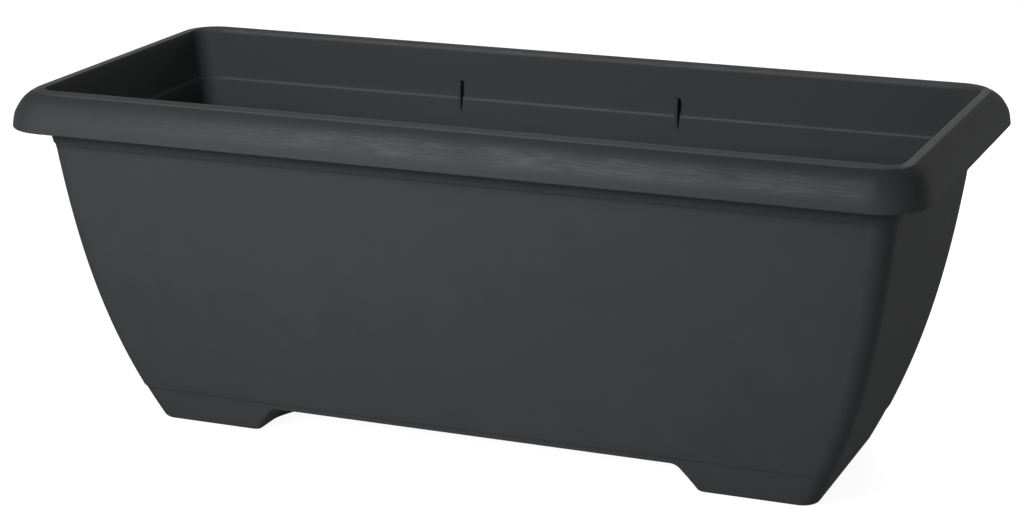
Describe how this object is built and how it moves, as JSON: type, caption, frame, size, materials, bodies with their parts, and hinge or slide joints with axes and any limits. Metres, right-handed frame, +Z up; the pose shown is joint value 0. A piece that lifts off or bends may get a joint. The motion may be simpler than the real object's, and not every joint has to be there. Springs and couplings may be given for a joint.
{
  "type": "trough planter",
  "caption": "Long flared trough planter with a rolled rim, hollow end feet, a lift-out slotted drain grid on push-in legs and pull-out drain plugs.",
  "frame": {"origin": "on the floor, under the middle of the trough", "axes": "+X along the trough's length to its right end, +Y to its rear, +Z up"},
  "size_m": [0.6, 0.2658, 0.2278],
  "materials": {
    "shell_plastic": "fine matt moulded surface with a soft sheen",
    "grid_plastic": "matt moulded",
    "leg_plastic": "matt moulded",
    "plug_plastic": "soft satin moulded"
  },
  "bodies": {
    "trough": {"trough_shell": "shell_plastic"},
    "grid": {"drain_grid": "grid_plastic", "grid_leg_left_front": "leg_plastic", "grid_leg_left_rear": "leg_plastic", "grid_leg_right_front": "leg_plastic", "grid_leg_right_rear": "leg_plastic", "grid_leg_middle_left": "leg_plastic", "grid_leg_middle_right": "leg_plastic"},
    "plug_left_front": {"drain_plug_left_front": "plug_plastic"},
    "plug_left_rear": {"drain_plug_left_rear": "plug_plastic"},
    "plug_right_front": {"drain_plug_right_front": "plug_plastic"},
    "plug_right_rear": {"drain_plug_right_rear": "plug_plastic"}
  },
  "joints": [
    {"name": "grid_lift", "type": "slide", "parent": "trough", "child": "grid", "axis": [0, 0, 1], "range_m": [0, 0.24]},
    {"name": "plug_lift_left_front", "type": "slide", "parent": "trough", "child": "plug_left_front", "axis": [0, 0, 1], "range_m": [0, 0.012]},
    {"name": "plug_lift_left_rear", "type": "slide", "parent": "trough", "child": "plug_left_rear", "axis": [0, 0, 1], "range_m": [0, 0.012]},
    {"name": "plug_lift_right_front", "type": "slide", "parent": "trough", "child": "plug_right_front", "axis": [0, 0, 1], "range_m": [0, 0.012]},
    {"name": "plug_lift_right_rear", "type": "slide", "parent": "trough", "child": "plug_right_rear", "axis": [0, 0, 1], "range_m": [0, 0.012]}
  ]
}
